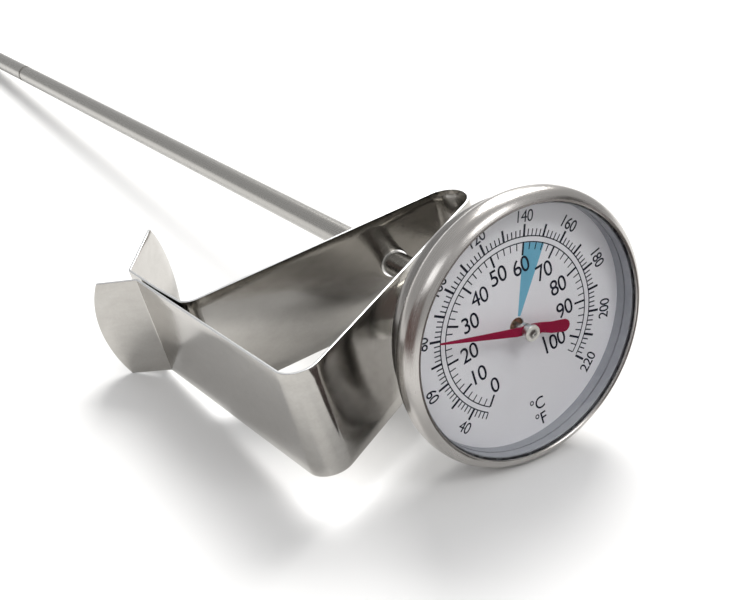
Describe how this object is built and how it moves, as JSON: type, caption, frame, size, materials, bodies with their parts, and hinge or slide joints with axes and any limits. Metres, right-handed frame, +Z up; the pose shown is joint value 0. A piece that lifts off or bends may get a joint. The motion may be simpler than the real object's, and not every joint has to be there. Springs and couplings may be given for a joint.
{
  "type": "dial thermometer",
  "caption": "Dial thermometer with a round head on a long straight stem and a folded sheet-steel spring clip that slides on the stem and grips a pot wall.",
  "frame": {"origin": "centre of the footprint on the surface that the thermometer lies on", "axes": "+Z up from the surface; the dial faces -Y and the stem runs towards +Y, dipping 4.1 degrees to its tip, as it lies on bezel, outer jaw and stem tip"},
  "size_m": [0.0746, 0.3176, 0.0497],
  "materials": {
    "bezel_steel": "satin brushed, rolled",
    "crystal_glass": "clear, polished",
    "gasket_rubber": "matt black",
    "ring_grey": "satin grey",
    "dial_white": "satin off-white enamel with black print",
    "case_steel": "satin, drawn",
    "brass": "turned",
    "stem_steel": "satin, ground lengthwise",
    "nut_steel": "machined",
    "bimetal": "rolled strip",
    "pointer_red": "satin crimson paint",
    "hub_metal": "turned, satin",
    "clip_steel": "cold-rolled, bright sheared edges"
  },
  "bodies": {
    "stem": {"stem_tube": "stem_steel", "stem_tip": "stem_steel", "stem_collar": "case_steel", "calibration_nut": "nut_steel", "friction_washer": "nut_steel", "neck_o_ring": "gasket_rubber", "top_bushing": "brass", "spindle_guides": "brass", "helix_anchor": "stem_steel", "bimetal_helix": "bimetal"},
    "head": {"bezel_ring": "bezel_steel", "crystal": "crystal_glass", "crystal_gasket": "gasket_rubber", "inner_wall_ring": "ring_grey", "dial_plate": "dial_white", "case_cup": "case_steel", "neck_bushing": "brass"},
    "pointer": {"spindle": "stem_steel", "spindle_collar": "brass", "pointer_blade": "pointer_red", "pointer_hub": "hub_metal", "hub_shoulder": "hub_metal"},
    "clip": {"clip_frame": "clip_steel"},
    "clip_jaw": {"clip_outer_jaw": "clip_steel"}
  },
  "joints": [
    {"name": "calibration_turn", "type": "hinge", "parent": "stem", "child": "head", "pos_m": [0.01239, -0.14542, 0.02421], "axis": [0, -0.9974, 0.0718], "range_deg": [-45, 45]},
    {"name": "pointer_sweep", "type": "hinge", "parent": "stem", "child": "pointer", "pos_m": [0.01239, -0.15489, 0.02489], "axis": [0, 0.9974, -0.0718], "range_deg": [-76, 208], "stiffness_Nm_per_rad": 0.00005},
    {"name": "clip_slide", "type": "slide", "parent": "stem", "child": "clip", "axis": [0, 0.9974, -0.0718], "range_m": [-0.003, 0.22]},
    {"name": "jaw_flex", "type": "hinge", "parent": "clip", "child": "clip_jaw", "pos_m": [-0.02708, -0.14101, 0.01586], "axis": [-0.199, 0.0703, 0.9775], "range_deg": [0, 7], "stiffness_Nm_per_rad": 1, "springref_deg": -2.86}
  ]
}
